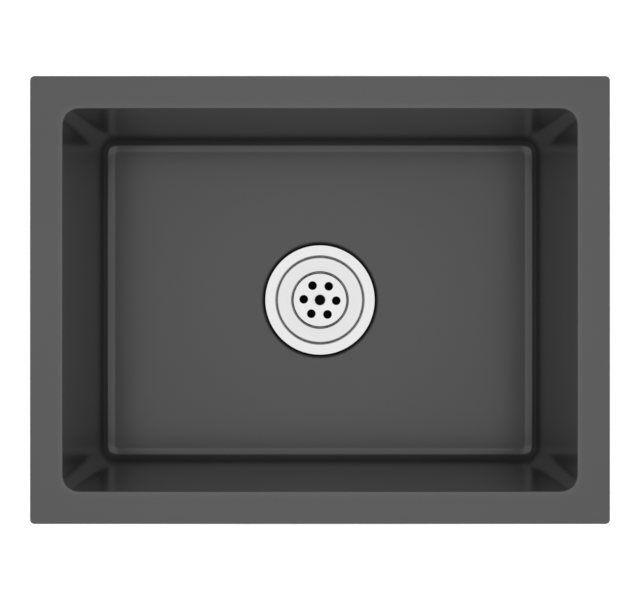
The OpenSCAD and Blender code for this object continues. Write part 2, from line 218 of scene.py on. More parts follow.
def fill_flat(bm, level):
    """Fills between all the open edge loops at one level, holes left open."""
    edges = [
        edge for edge in bm.edges
        if len(edge.link_faces) < 2 and all(abs(vert.co.z - level) < TINY for vert in edge.verts)]
    bmesh.ops.triangle_fill(bm, use_beauty=True, use_dissolve=False, edges=edges, normal=(0, 0, 1))


def thicken(bm, thickness):
    """Turns the finished face of a sheet upwards and gives the sheet its thickness behind it."""
    tidy(bm, up=True)
    bmesh.ops.solidify(bm, geom=bm.faces[:], thickness=thickness)
    tidy(bm)


def sharp_edges(bm):
    return [edge for edge in bm.edges if edge.is_manifold and edge.calc_face_angle(0) > SHARP]


def ease(bm, size, segments=2, edges=None, clamp=True):
    bevel(bm, edges or sharp_edges(bm), size, segments, "EDGES", clamp)


print("sheet and edge helpers ready")

# %% [markdown]
# ## Shared effects
#
# Grain, rings and moulded skin turn up in several finishes, so each is a node group with named
# sockets. A group only gives out masks and heights that change over the surface. The shader and
# its fixed values stay in the material, where they can be read one by one.

# %% Node helpers
NODE_GAP = 180


class Net:
    """Adds nodes from left to right and links them by socket name."""

    def __init__(self, tree):
        self.tree = tree
        self.count = 0

    def add(self, kind, values=None, **settings):
        node = self.tree.nodes.new(kind)
        node.location = (self.count * NODE_GAP, 0)
        self.count += 1
        for key, value in settings.items():
            setattr(node, key, value)
        for key, value in (values or {}).items():
            if isinstance(value, bpy.types.NodeSocket):
                self.tree.links.new(value, node.inputs[key])
            else:
                node.inputs[key].default_value = value
        return node

    def math(self, operation, a, b=0.0, c=0.0):
        return self.add("ShaderNodeMath", {0: a, 1: b, 2: c}, operation=operation).outputs[0]

    def noise(self, vector, scale, detail=2.0, roughness=0.5):
        node = self.add("ShaderNodeTexNoise", {
            "Vector": vector, "Scale": scale, "Detail": detail, "Roughness": roughness})
        return node.outputs["Fac"]

    def between(self, value, first, last):
        """Maps 0 to 1 on a range."""
        node = self.add("ShaderNodeMapRange", {"Value": value, "To Min": first, "To Max": last})
        return node.outputs["Result"]

    def object_place(self):
        return self.add("ShaderNodeTexCoord").outputs["Object"]


print("node helpers ready")

# %% Node groups
def new_group(name, inputs, outputs):
    tree = bpy.data.node_groups.new(name, "ShaderNodeTree")
    for socket, value in inputs.items():
        made = tree.interface.new_socket(socket, in_out="INPUT", socket_type="NodeSocketFloat")
        made.default_value = value
    for socket in outputs:
        tree.interface.new_socket(socket, in_out="OUTPUT", socket_type="NodeSocketFloat")
    net = Net(tree)
    return net, net.add("NodeGroupInput").outputs


def close_group(net, values):
    net.add("NodeGroupOutput", values)
    print("effect:", net.tree.name, "gives", ", ".join(values))
    return net.tree


print("group helpers ready")

# %% [markdown]
# Sheet is rolled and brushed in one direction. A picture of grain would show where it repeats, and
# noise never does. Stretched along u of the UV map it gives long fine lines, and a second, much
# larger noise gives the soft clouds of a sprayed coating.

# %% Sheet grain
net, given = new_group(
    "sheet_grain", {"Lines per metre": 2500.0, "Line length": 0.02, "Cloud scale": 9.0},
    ["Lines", "Clouds"])
uv = net.add("ShaderNodeUVMap", uv_map="grain").outputs["UV"]
split = net.add("ShaderNodeSeparateXYZ", {"Vector": uv})
along = net.math("DIVIDE", split.outputs["X"], given["Line length"])
across = net.math("MULTIPLY", split.outputs["Y"], given["Lines per metre"])
sample = net.add("ShaderNodeCombineXYZ", {"X": along, "Y": across}).outputs["Vector"]
lines = net.noise(sample, scale=1.0, detail=3.0)
clouds = net.noise(net.object_place(), given["Cloud scale"], detail=3.0, roughness=0.55)
SHEET_GRAIN = close_group(net, {"Lines": lines, "Clouds": clouds})

# %% [markdown]
# A part that was turned or polished on a lathe has rings. Their pattern depends on the distance
# from the axis and on the height, and only a little on the direction, which breaks the rings into
# long arcs.

# %% Lathe rings
net, given = new_group(
    "lathe_rings", {"Rings per metre": 1800.0, "Arc breaks": 1.5}, ["Rings", "Clouds"])
point = net.object_place()
split = net.add("ShaderNodeSeparateXYZ", {"Vector": point}).outputs
flat = net.add("ShaderNodeCombineXYZ", {"X": split["X"], "Y": split["Y"]}).outputs["Vector"]
radius = net.add("ShaderNodeVectorMath", {0: flat}, operation="LENGTH").outputs["Value"]
way = net.add("ShaderNodeVectorMath", {0: flat}, operation="NORMALIZE").outputs["Vector"]
arcs = net.add("ShaderNodeVectorMath", {0: way, "Scale": given["Arc breaks"]}, operation="SCALE")
depth = net.math("MULTIPLY", net.math("ADD", radius, split["Z"]), given["Rings per metre"])
stack = net.add("ShaderNodeCombineXYZ", {"Z": depth}).outputs["Vector"]
sample = net.add("ShaderNodeVectorMath", {0: stack, 1: arcs.outputs["Vector"]}, operation="ADD")
rings = net.noise(sample.outputs["Vector"], scale=1.0, detail=3.0)
clouds = net.noise(point, scale=45.0)
LATHE_RINGS = close_group(net, {"Rings": rings, "Clouds": clouds})

# %% [markdown]
# Rubber, cast metal and moulded plastic have a skin: fine pits over broader unevenness. They are
# far too small to model, and in the bump they cost nothing.

# %% Moulded skin
net, given = new_group("moulded_skin", {"Grain": 1800.0, "Waves": 90.0}, ["Skin", "Waves"])
point = net.object_place()
grain = net.noise(point, given["Grain"], roughness=0.6)
waves = net.noise(point, given["Waves"])
pits = net.add("ShaderNodeTexVoronoi", {"Vector": point, "Scale": given["Grain"]})
skin = net.math("MULTIPLY", net.math("ADD", grain, pits.outputs["Distance"]), 0.5)
MOULDED_SKIN = close_group(net, {"Skin": skin, "Waves": waves})

# %% [markdown]
# Coatings thin out where hands and dishes rub: on outward edges. Pointiness changes with how finely
# a mesh is cut, so each mesh stores how tightly it bends outwards at every point, and this group
# breaks that value up with noise, so the worn line is never perfectly even.

# %% Edge wear
net, given = new_group("edge_wear", {"Amount": 1.0, "Break up": 160.0}, ["Mask"])
bend = net.add("ShaderNodeAttribute", attribute_name="outward_bend").outputs["Fac"]
speckle = net.noise(net.object_place(), given["Break up"], detail=3.0)
patches = net.between(speckle, first=0.4, last=1.0)
mask = net.math("MULTIPLY", net.math("MULTIPLY", bend, patches), given["Amount"])
EDGE_WEAR = close_group(net, {"Mask": mask})

# %% [markdown]
# ## Finishes
#
# One function per family of finish. Each is a Principled shader whose colour, roughness and normal
# come from the effects above, within narrow ranges: real finishes vary by a few percent.

# %% Finish families
FINISHES = {}
BUMP_DISTANCE = 0.0005


def new_finish(name):
    material = bpy.data.materials.new(name)
    material.use_nodes = True
    material.node_tree.nodes.clear()
    FINISHES[name] = material
    return Net(material.node_tree)


def tint(net, factor, first, last):
    """A colour between two others, chosen by a mask."""
    mix = net.add("ShaderNodeMix", data_type="RGBA")
    net.tree.links.new(factor, mix.inputs["Factor"])
    for socket, colour in (("A", first), ("B", last)):
        if isinstance(colour, bpy.types.NodeSocket):
            net.tree.links.new(colour, mix.inputs[socket])
        else:
            mix.inputs[socket].default_value = (*colour, 1.0)
    return mix.outputs["Result"]


def close_finish(net, colour, roughness, height, strength, fixed):
    bump = net.add("ShaderNodeBump", {
        "Height": height, "Strength": strength, "Distance": BUMP_DISTANCE})
    values = {"Base Color": colour, "Roughness": roughness, "Normal": bump.outputs["Normal"]}
    shader = net.add("ShaderNodeBsdfPrincipled", values | fixed)
    net.add("ShaderNodeOutputMaterial", {"Surface": shader.outputs["BSDF"]})


def grey(level):
    return (level, level, level)


print("finish helpers ready")

# %% [markdown]
# The bowl's coating is a dark metallic film over satin sheet. Part of the light is reflected by
# the metal and part is scattered by the pigment, so Metallic is well under 1. The strainer is bare
# steel, polished on a lathe.

# %% Metal finishes
WORN_COAT = grey(0.30)
WEAR = 0.25


def coated_sheet(name, first, last, rough, bump, metallic):
    net = new_finish(name)
    grain = net.add("ShaderNodeGroup", node_tree=SHEET_GRAIN).outputs
    coat = tint(net, grain["Clouds"], first, last)
    wear = net.add("ShaderNodeGroup", {"Amount": WEAR}, node_tree=EDGE_WEAR).outputs["Mask"]
    colour = tint(net, wear, coat, WORN_COAT)
    roughness = net.between(grain["Clouds"], *rough)
    close_finish(net, colour, roughness, grain["Lines"], bump, {"Metallic": metallic})


def turned_metal(name, first, last, rough, bump):
    net = new_finish(name)
    rings = net.add("ShaderNodeGroup", node_tree=LATHE_RINGS).outputs
    colour = tint(net, rings["Rings"], first, last)
    roughness = net.between(rings["Clouds"], *rough)
    close_finish(net, colour, roughness, rings["Rings"], bump, {"Metallic": 1.0})


def moulded(name, first, last, rough, bump, grain, fixed):
    net = new_finish(name)
    skin = net.add("ShaderNodeGroup", {"Grain": grain}, node_tree=MOULDED_SKIN).outputs
    colour = tint(net, skin["Waves"], first, last)
    roughness = net.between(skin["Skin"], *rough)
    close_finish(net, colour, roughness, skin["Skin"], bump, fixed)


coated_sheet(
    "coated_steel", grey(0.104), grey(0.112), rough=(0.17, 0.23), bump=0.02, metallic=0.5)
turned_metal("strainer_steel", grey(0.79), grey(0.85), rough=(0.13, 0.19), bump=0.03)
turned_metal(
    "tail_steel", (0.58, 0.58, 0.59), (0.68, 0.68, 0.69), rough=(0.26, 0.36), bump=0.06)
moulded(
    "die_cast", (0.40, 0.41, 0.42), (0.50, 0.51, 0.52), rough=(0.42, 0.60), bump=0.5,
    grain=900.0, fixed={"Metallic": 1.0})
print("metal finishes:", sorted(FINISHES))

# %% [markdown]
# Rubber, fibre and plastic share the moulded skin and differ in colour, shine and grain. A plain
# colour would do at this distance, but not close up. The seals are darker than black rubber and
# mirror almost nothing: their colour is partly the rubber's own black and partly painted shade, the
# shade of the narrow gap round the strainer's flange. The knob is black and mirrors almost nothing
# too, and nylon lets a little light in.

# %% Rubber, fibre and plastic finishes
DULL = {"Metallic": 0.0}
FAINT_SHINE = {"Metallic": 0.0, "Specular IOR Level": 0.05}
NYLON = {"Metallic": 0.0, "Subsurface Weight": 0.2, "Subsurface Scale": 0.002}

moulded("sound_pad", grey(0.026), grey(0.036), rough=(0.65, 0.85), bump=0.9, grain=500.0, fixed=DULL)
# Seal colour: black rubber darkened further, which is painted shade of the gap round the strainer's
# flange.
moulded("seal_rubber", grey(0.004), grey(0.006), rough=(0.50, 0.65), bump=0.3, grain=1800.0, fixed=FAINT_SHINE)
moulded("knob_black", grey(0.003), grey(0.005), rough=(0.40, 0.50), bump=0.15, grain=1800.0, fixed=FAINT_SHINE)
moulded(
    "fibre", (0.26, 0.18, 0.10), (0.42, 0.31, 0.19), rough=(0.80, 0.95), bump=0.8,
    grain=1100.0, fixed=DULL)
moulded(
    "clip_nylon", (0.64, 0.62, 0.55), (0.74, 0.72, 0.66), rough=(0.38, 0.48), bump=0.15,
    grain=1500.0, fixed=NYLON)
print("all finishes:", sorted(FINISHES))

# %% [markdown]
# ## From mesh to piece
#
# A finished piece needs its size in metres, smooth shading that stays crisp at real edges, a UV
# map for finishes that follow the sheet, and its body, slot and replaced node. The UV map is a box
# projection, so brush lines made on it run level round all four walls. The weighted normals let
# the big flat faces decide the shading, so a flat floor reflects flat right up to its bends.

# %% Grain map and bends
def box_uv(bm):
    layer = bm.loops.layers.uv.new("grain")
    for face in bm.faces:
        side = max(range(3), key=lambda axis: abs(face.normal[axis]))
        u, v = ((1, 2), (0, 2), (0, 1))[side]
        for loop in face.loops:
            loop[layer].uv = (loop.vert.co[u] * MM, loop.vert.co[v] * MM)


def outward_bend(edge):
    """The turn of the surface across an edge, outwards, in radians per mm."""
    width = min(face.calc_area() for face in edge.link_faces) / edge.calc_length()
    return max(0.0, edge.calc_face_angle_signed(0)) / width


def mark_bends(bm):
    layer = bm.verts.layers.float.new("outward_bend")
    for vert in bm.verts:
        bends = [outward_bend(edge) for edge in vert.link_edges if edge.is_manifold]
        vert[layer] = min(1.0, max(bends, default=0.0))


print("grain map and bend layer ready")

# %% Piece builder
SMOOTH_LIMIT = math.radians(40)


def place(name, data):
    made = bpy.data.objects.new(name, data)
    bpy.context.scene.collection.objects.link(made)
    return made


def add_piece(name, bm, body, slot, *nodes):
    """Turns a bmesh in millimetres into a finished piece in the frame."""
    bm.normal_update()
    box_uv(bm)
    mark_bends(bm)
    bmesh.ops.scale(bm, vec=(MM, MM, MM), verts=bm.verts)
    mesh = bpy.data.meshes.new(name)
    open_edges = sum(not edge.is_manifold for edge in bm.edges)
    bm.to_mesh(mesh)
    bm.free()
    mesh.shade_smooth()
    mesh.set_sharp_from_angle(angle=SMOOTH_LIMIT)
    mesh.materials.append(FINISHES[slot])
    piece = place(name, mesh)
    shading = piece.modifiers.new("flat_faces_lead", "WEIGHTED_NORMAL")
    shading.keep_sharp = True
    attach(piece, body)
    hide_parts(*nodes)
    print(f"{name}: {len(mesh.polygons)} faces, {open_edges} open edges, rides on {body}")


print("smooth below", round(math.degrees(SMOOTH_LIMIT)), "degrees")

# %% [markdown]
# ## The bowl's walls
#
# A real bowl is pressed from one flat sheet. A box with bevelled edges comes close, but the mouth,
# the corners and the floor bend differ in radius. So the wall's profile is spun a quarter turn
# round an upright corner, and its ends are pulled straight to the middle of each side. Short first
# pulls keep the bends' shading off the large flat faces. The walls lean in a little, so that the
# bowl comes off the punch: every vertex moves in by its share of the depth, so the corners keep
# their size all the way down. Two mirrors make the other three quarters.

# %% Sizes of the bowl
CORNER_REACH = 18.0
CORNER_POWER = 2.6
MOUTH_R = 1.6
FLOOR_R = 10.5
LEAN_X = 4.0
LEAN_Y = 4.6
FLANGE_W = 28.5
SUPPORT = 2.0
FLANGE_SUPPORT = 4.0
FLOOR_SUPPORT = 1.0
CORNER_STEPS = 24
BEND_SEGMENTS = 12
BOWL_X = FLANGE_X - FLANGE_W
BOWL_Y = FLANGE_Y - FLANGE_W
CORNER_X = BOWL_X - CORNER_REACH
CORNER_Y = BOWL_Y - CORNER_REACH
print("opening", 2 * BOWL_X, "x", 2 * BOWL_Y, "mm")

# %% Straight pulls
def edges_between(geom, verts):
    return [
        item for item in geom
        if isinstance(item, bmesh.types.BMEdge) and verts.issuperset(item.verts)]


def pull(bm, edges, *steps):
    """Extrudes edges by each step in turn."""
    for step in steps:
        made = bmesh.ops.extrude_edge_only(bm, edges=edges)["geom"]
        ends = set(verts_of(made))
        move(bm, step, list(ends))
        edges = edges_between(made, ends)


print("pull ready")

# %% [markdown]
# Pressed sheet eases into a corner, so the corner isn't a plain quarter circle but a superellipse.
# Its power is 2 for a circle, and more makes its middle tighter and its ends softer. Each vertex
# keeps its offset from the wall and its direction, in which the wall faces there.

# %% Corners and lean
def ease_into_corner(bm):
    """Turns the quarter circle into a quarter of a superellipse."""
    dual = CORNER_POWER / (CORNER_POWER - 1)
    for vert in bm.verts:
        offset = vert.co.xy.length - CORNER_REACH
        facing = vert.co.xy.normalized()
        across, along = max(facing.x, 0.0), max(facing.y, 0.0)
        size = CORNER_REACH / (across ** dual + along ** dual) ** (1 / CORNER_POWER)
        vert.co.x = size * across ** (dual - 1) + offset * across
        vert.co.y = size * along ** (dual - 1) + offset * along


def lean_in(bm):
    """Leans the walls in. The vertices on the two middle planes stay on them."""
    for vert in bm.verts:
        share = vert.co.z / FLOOR_Z
        vert.co.x -= share * LEAN_X if vert.co.x > TINY else 0
        vert.co.y -= share * LEAN_Y if vert.co.y > TINY else 0


print("corners of power", CORNER_POWER, "reach", CORNER_REACH, "mm")

# %% Walls
def bowl_walls():
    bm = bmesh.new()
    draw(bm, [
        (CORNER_REACH + MOUTH_R + FLANGE_SUPPORT, 0),
        (CORNER_REACH, 0, MOUTH_R),
        (CORNER_REACH, -MOUTH_R - SUPPORT),
        (CORNER_REACH, FLOOR_Z + FLOOR_R + SUPPORT),
        (CORNER_REACH, FLOOR_Z, FLOOR_R),
        (CORNER_REACH - FLOOR_R - FLOOR_SUPPORT, FLOOR_Z),
    ], segments=BEND_SEGMENTS)
    first = bm.edges[:]
    last = spin(bm, CORNER_STEPS, math.pi / 2)
    ease_into_corner(bm)
    move(bm, (CORNER_X, CORNER_Y, 0))
    pull(bm, first, (0, -SUPPORT, 0), (0, SUPPORT - CORNER_Y, 0))
    pull(bm, last, (-SUPPORT, 0, 0), (SUPPORT - CORNER_X, 0, 0))
    bmesh.ops.remove_doubles(bm, verts=bm.verts, dist=TINY)
    lean_in(bm)
    for axis in "XY":
        bmesh.ops.mirror(bm, geom=bm.verts[:] + bm.edges[:] + bm.faces[:], merge_dist=TINY, axis=axis)
    return bm


sheet = bowl_walls()
print("walls:", len(sheet.faces), "faces")

# %% [markdown]
# The flange grows from the open edge round the mouth. Its outer corners are much tighter than the
# bowl's, so each new vertex goes to the same place on a rounded rectangle of another radius: the
# middle of its corner moves out, and its direction from there stays. A loop just inside the edge
# keeps the edge's wear off the flat.

# %% Flange
FLANGE_CORNER_R = 4.0
EDGE_SUPPORT = 1.0


def within(value, limit):
    return max(-limit, min(limit, value))


def grow_out(bm, edges, near, far, radius):
    """Extrudes edges to another rounded rectangle. near and far are the corners' middles."""
    made = bmesh.ops.extrude_edge_only(bm, edges=edges)["geom"]
    ends = set(verts_of(made))
    for vert in ends:
        middle = Vector((within(vert.co.x, near.x), within(vert.co.y, near.y), 0))
        outwards = (vert.co - middle).normalized()
        vert.co = Vector((middle.x * far.x / near.x, middle.y * far.y / near.y, 0)) + outwards * radius
    return edges_between(made, ends)


def add_flange(bm):
    rim = [edge for edge in bm.edges if edge.is_boundary and edge.verts[0].co.z > -TINY]
    near = Vector((CORNER_X, CORNER_Y))
    far = Vector((FLANGE_X - FLANGE_CORNER_R, FLANGE_Y - FLANGE_CORNER_R))
    rim = grow_out(bm, rim, near, far, FLANGE_CORNER_R - EDGE_SUPPORT)
    grow_out(bm, rim, far, far, FLANGE_CORNER_R)


add_flange(sheet)
print("flange reaches x", round(max(vert.co.x for vert in sheet.verts), 2), "mm")

# %% [markdown]
# The floor falls to the waste in a long shallow curve, and a rolled step lowers the seat of the
# strainer. Both are one spun profile. The flat part between this round dish and the straight walls
# is filled in one go between the two edge loops: it is flat, so how it is cut up never shows.

# %% Floor and waste seat
HOLE_R = 46.5
SEAL_R = 57.55
SEAL_BULGE = 0.5
SEAT_DROP = 2.4
SEAT_MARGIN = 0.3
STEP_TILT = math.radians(58)
STEP_FOOT_R = 0.5
STEP_STRAIGHT = 0.1
STEP_LAND = 0.5
FALL_REACH = 130.0
FALL_STEPS = 24
FLAT_RING = 5.0
DISH_STEPS = 192
CUT_EDGE = 0.2
LOW_Z = SEAT_Z + SEAT_DROP
STEP_SLOPE = SEAT_DROP / math.sin(STEP_TILT)
STEP_R = (STEP_SLOPE - STEP_STRAIGHT) / math.tan(STEP_TILT / 2) - STEP_FOOT_R
STEP_FOOT = SEAL_R + SEAT_MARGIN + STEP_FOOT_R * math.tan(STEP_TILT / 2)
STEP_TOP = STEP_FOOT + SEAT_DROP / math.tan(STEP_TILT)
FALL_END = STEP_TOP + STEP_R * math.tan(STEP_TILT / 2) + STEP_LAND


def fall_line():
    """The shallow curve from the flat floor to the step, level at both ends."""
    line = [(FALL_REACH + FLAT_RING, FLOOR_Z), (FALL_REACH, FLOOR_Z)]
    for step in range(1, FALL_STEPS + 1):
        share = step / FALL_STEPS
        drop = (1 - math.cos(math.pi * share)) / 2
        line.append((FALL_REACH + (FALL_END - FALL_REACH) * share, FLOOR_Z + (LOW_Z - FLOOR_Z) * drop))
    return line


seat = [(STEP_TOP, LOW_Z, STEP_R), (STEP_FOOT, SEAT_Z, STEP_FOOT_R), (HOLE_R, SEAT_Z)]
join(sheet, spun(fall_line() + seat, DISH_STEPS, segments=8))
fill_flat(sheet, FLOOR_Z)
thicken(sheet, SHEET)
ease(sheet, CUT_EDGE)
add_piece("sink_sheet", sheet, "sink", "coated_steel", "sink_bowl")

# %% [markdown]
# ## Sound pads
#
# Stick-on rubber pads damp the drumming of the walls. Bevelling a whole box would round the glued
# face too, so a side pad is a rounded rectangle, pulled to its thickness, of which only the outer
# edge is rounded. It is then laid on its leaning wall.

# %% Side pads
PAD_T = 3.0
PAD_H = 120.0
PAD_DROP = 36.0
PAD_CORNER_R = 12.0
PAD_ROUND = 0.9


def rounded_plate(half_x, half_y, radius, segments=8):
    """A flat face with rounded corners."""
    bm = bmesh.new()
    bmesh.ops.create_grid(bm, x_segments=1, y_segments=1, size=1)
    bmesh.ops.scale(bm, vec=(half_x, half_y, 1), verts=bm.verts)
    bevel(bm, bm.verts[:], radius, segments, "VERTICES")
    return bm


def turn(bm, angle, axis):
    bmesh.ops.rotate(
        bm, verts=bm.verts, cent=(0, 0, 0), matrix=Matrix.Rotation(angle, 3, axis))


def side_pad(side, wall, inwards, length, quarter_turns):
    """Lays a pad on the slope of a front wall that leans in, then turns it to its side."""
    lean = math.atan(inwards / abs(FLOOR_Z))
    bm = rounded_plate(length / 2, PAD_H / 2, PAD_CORNER_R)
    made = bmesh.ops.extrude_face_region(bm, geom=bm.faces[:])["geom"]
    move(bm, (0, 0, PAD_T), verts_of(made))
    tidy(bm)
    outer = [edge for edge in sharp_edges(bm) if min(vert.co.z for vert in edge.verts) > TINY]
    ease(bm, PAD_ROUND, segments=4, edges=outer)
    turn(bm, math.pi / 2, "X")
    move(bm, (0, 0, -PAD_DROP - PAD_H / 2))
    turn(bm, lean, "X")
    move(bm, (0, -wall - SHEET / math.cos(lean), 0))
    turn(bm, quarter_turns * math.pi / 2, "Z")
    add_piece(f"{side}_sound_pad", bm, "sink", "sound_pad", f"pad_{side}")


WALLS = ((BOWL_Y, LEAN_Y, 2 * high("pad_front").x), (BOWL_X, LEAN_X, 2 * high("pad_right").y))
for quarter_turns, side in enumerate(("front", "right", "back", "left")):
    side_pad(side, *WALLS[quarter_turns % 2], quarter_turns)

# %% [markdown]
# The base pad has to follow the fall of the floor, so it is made as the floor is: a flat frame and
# a spun dish, filled between, and thickened downwards.

# %% Base pad
BASE_PAD_HOLE_R = 76.0


def base_pad():
    top = high("pad_base")
    bm = rounded_plate(top.x, top.y, PAD_CORNER_R)
    move(bm, (0, 0, top.z))
    bmesh.ops.delete(bm, geom=bm.faces[:], context="FACES_ONLY")
    line = [(x, z - SHEET) for x, z in fall_line() if x > BASE_PAD_HOLE_R]
    join(bm, spun(line + [(BASE_PAD_HOLE_R, line[-1][1])], DISH_STEPS))
    fill_flat(bm, top.z)
    thicken(bm, PAD_T)
    ease(bm, PAD_ROUND, segments=3)
    add_piece("base_sound_pad", bm, "sink", "sound_pad", "pad_base")


base_pad()

# %% [markdown]
# ## The strainer body
#
# The bright part that clamps the waste to the floor is drawn from one disc of sheet: a broad
# flange, a straight neck, and a cup with a level seat round the outlet. Its profile is spun and
# thickened like the bowl.

# %% Strainer cup
FLANGE_R = 56.75
NECK_OUT_R = 45.8
SHOULDER_BEND = 1.9
CUP_SHEET = 0.8
NECK_R = NECK_OUT_R - CUP_SHEET
CUP_Z = low("stopper").z
CUP_RISE = 5.0
CUP_BEND = 5.0
SEAT_R = 28.0
SEAT_BEND = 2.0
OUTLET_R = 21.0
CUP_STEPS = 160
CUP_EDGE = 0.38

cup = spun([
    (FLANGE_R, STRAINER_Z),
    (NECK_R, STRAINER_Z, SHOULDER_BEND),
    (NECK_R, CUP_Z + CUP_RISE, CUP_BEND),
    (SEAT_R, CUP_Z, SEAT_BEND),
    (OUTLET_R, CUP_Z),
], CUP_STEPS, segments=8)
thicken(cup, CUP_SHEET)
ease(cup, CUP_EDGE, segments=4)
print("strainer cup:", len(cup.faces), "faces")

# %% [markdown]
# Screw threads are too fine for the solids, so they are made here. A bump would fake them from the
# front, but not along the outline. A ridge is a small closed profile that is spun with a rise. Its
# first and last profiles sink into the core, so the ridge runs out as a cut thread does.

# %% Screw threads
THREAD_STEPS = 48
ROOT_DEPTH = 0.1
FOOT_SHARE = 0.45
CREST_SHARE = 0.08
NECK_THREAD_H = 0.45
NECK_PITCH = 1.5


def add_thread(bm, root, crest, pitch, top, bottom):
    """Adds a screw ridge that runs down a core from one level to another."""
    turns = (top - bottom) / pitch - 1
    start = top - pitch / 2
    ridge = bmesh.new()
    draw(ridge, [
        (root - ROOT_DEPTH, start + FOOT_SHARE * pitch),
        (crest, start + CREST_SHARE * pitch),
        (crest, start - CREST_SHARE * pitch),
        (root - ROOT_DEPTH, start - FOOT_SHARE * pitch),
    ], closed=True)
    first = ridge.verts[:]
    last = spin(ridge, round(turns * THREAD_STEPS), ALL_ROUND * turns, -pitch * turns)
    sink = crest - root + ROOT_DEPTH / 2
    for vert in set(first) | {vert for edge in last for vert in edge.verts}:
        vert.co.xy *= 1 - sink / vert.co.xy.length
    bmesh.ops.holes_fill(ridge, edges=ridge.edges, sides=0)
    bmesh.ops.recalc_face_normals(ridge, faces=ridge.faces)
    join(bm, ridge)


NUT_Z = low("locknut").z
add_thread(
    cup, NECK_OUT_R, NECK_OUT_R + NECK_THREAD_H, NECK_PITCH, top=NUT_Z - 0.2, bottom=NUT_Z - 4.8)
add_piece("strainer_cup", cup, "sink", "strainer_steel", "strainer_body")

# %% [markdown]
# The threaded collar is welded under the cup. It has a plain band at the top, a chamfer at the
# bottom that leads the nut on, and a ledge in its bore for the post guide. It is a solid of
# revolution, so it is turned like the real one.

# %% Outlet collar
COLLAR_R = 23.9
COLLAR_CORE_R = 22.9
COLLAR_BORE_R = 19.0
COLLAR_BAND = 1.5
COLLAR_ROOT = 2.2
COLLAR_CHAMFER = 0.5
COLLAR_PITCH = 2.309
COLLAR_TOP = CUP_Z - CUP_SHEET
COLLAR_Z = high("outlet_washer").z
LEDGE_Z = low("post_guide").z

collar = turned([
    (OUTLET_R, COLLAR_TOP),
    (COLLAR_R, COLLAR_TOP),
    (COLLAR_R, COLLAR_TOP - COLLAR_BAND, 0.2),
    (COLLAR_CORE_R, COLLAR_TOP - COLLAR_ROOT),
    (COLLAR_CORE_R, COLLAR_Z + COLLAR_CHAMFER),
    (COLLAR_CORE_R - COLLAR_CHAMFER, COLLAR_Z),
    (COLLAR_BORE_R, COLLAR_Z, 0.3),
    (COLLAR_BORE_R, LEDGE_Z, 0.2),
    (OUTLET_R, LEDGE_Z),
])
add_thread(
    collar, COLLAR_CORE_R, COLLAR_R, COLLAR_PITCH, top=COLLAR_TOP - 2.0, bottom=COLLAR_Z + 0.4)
add_piece("outlet_collar", collar, "sink", "strainer_steel", "strainer_body")

# %% [markdown]
# ## Seals
#
# The soft rings are turned profiles with generous round edges, because rubber is moulded and
# bulges where it is clamped. A torus would be quicker, but these are flat washers. The first one
# shows in the finished sink, as the black ring round the strainer. Its near-black colour is partly
# the rubber's own and partly painted shade, for the gap between the strainer's flange and its seat.

# %% Rubber and fibre rings
def flat_ring(node, inner, outer, edge_r, steps=128):
    """A ring of rectangular section, as high as its node."""
    bottom, top = low(node).z, high(node).z
    corners = [(inner, bottom), (outer, bottom), (outer, top), (inner, top)]
    return turned([(*corner, edge_r) for corner in corners], steps)


def seal(name, node, slot, inner, outer, edge_r):
    add_piece(name, flat_ring(node, inner, outer, edge_r), "sink", slot, node)


SEAL_INSET = 0.5
SEAL_BORE_R = NECK_OUT_R + SEAL_INSET
FLOOR_SEAL_R = 56.0
FIBRE_R = FLOOR_SEAL_R - 1

# This ring's very dark finish is partly painted shade, standing in for the shadow in the gap round the
# flange.
seal(
    "flange_seal", "flange_gasket", "seal_rubber",
    inner=SEAL_BORE_R + SHOULDER_BEND, outer=SEAL_R + SEAL_BULGE, edge_r=0.5)
seal("floor_seal", "floor_gasket", "seal_rubber", SEAL_BORE_R, FLOOR_SEAL_R, edge_r=0.8)
seal("fibre_ring", "slip_ring", "fibre", SEAL_BORE_R, FIBRE_R, edge_r=0.15)
seal(
    "outlet_seal", "outlet_washer", "seal_rubber",
    inner=COLLAR_BORE_R - SEAL_INSET, outer=COLLAR_R - SEAL_INSET, edge_r=0.4)

# %% [markdown]
# ## Tailpiece and post guide
#
# The tailpiece is drawn tube with a flange that the coupling nut pulls up against its washer. Two
# cylinders would meet in a hard line, where the real tube flows into its flange, so its whole half
# section is drawn once and turned.

# %% Tailpiece
TAIL_R = 20.0
TAIL_BORE_R = 18.0
TAIL_FLANGE_R = COLLAR_R - SEAL_INSET
TAIL_FLANGE_T = 2.5
TAIL_NECK_H = 6.0
TAIL_NECK_CUT = 0.3
TAIL_TOP = high("tailpiece").z
TAIL_END = low("tailpiece").z
TAIL_NECK_Z = TAIL_TOP - TAIL_FLANGE_T

tail = turned([
    (TAIL_BORE_R, TAIL_TOP, 0.4),
    (TAIL_FLANGE_R, TAIL_TOP, 0.4),
    (TAIL_FLANGE_R, TAIL_NECK_Z, 0.4),
    (TAIL_R - TAIL_NECK_CUT, TAIL_NECK_Z, 0.5),
    (TAIL_R - TAIL_NECK_CUT, TAIL_NECK_Z - TAIL_NECK_H),
    (TAIL_R, TAIL_NECK_Z - TAIL_NECK_H - TAIL_NECK_CUT),
    (TAIL_R, TAIL_END, 0.5),
    (TAIL_BORE_R, TAIL_END, 0.5),
])
add_piece("drawn_tailpiece", tail, "sink", "tail_steel", "tailpiece")

# %% [markdown]
# The post guide is a flat stamping: a ring, a hub and three spokes. Joining them would leave
# seams, so it is drawn by its outlines, as it is cut. Each gap between two spokes is two arcs,
# spun from one vertex each, and two straight ends. One fill leaves the gaps and the bore open.

# %% Post guide
GUIDE_HUB_R = 8.4
GUIDE_BORE_R = 4.8
GUIDE_RING_W = 3.0
SPOKES = 3
SPOKE_W = 5.0
GAP_STEPS = 20


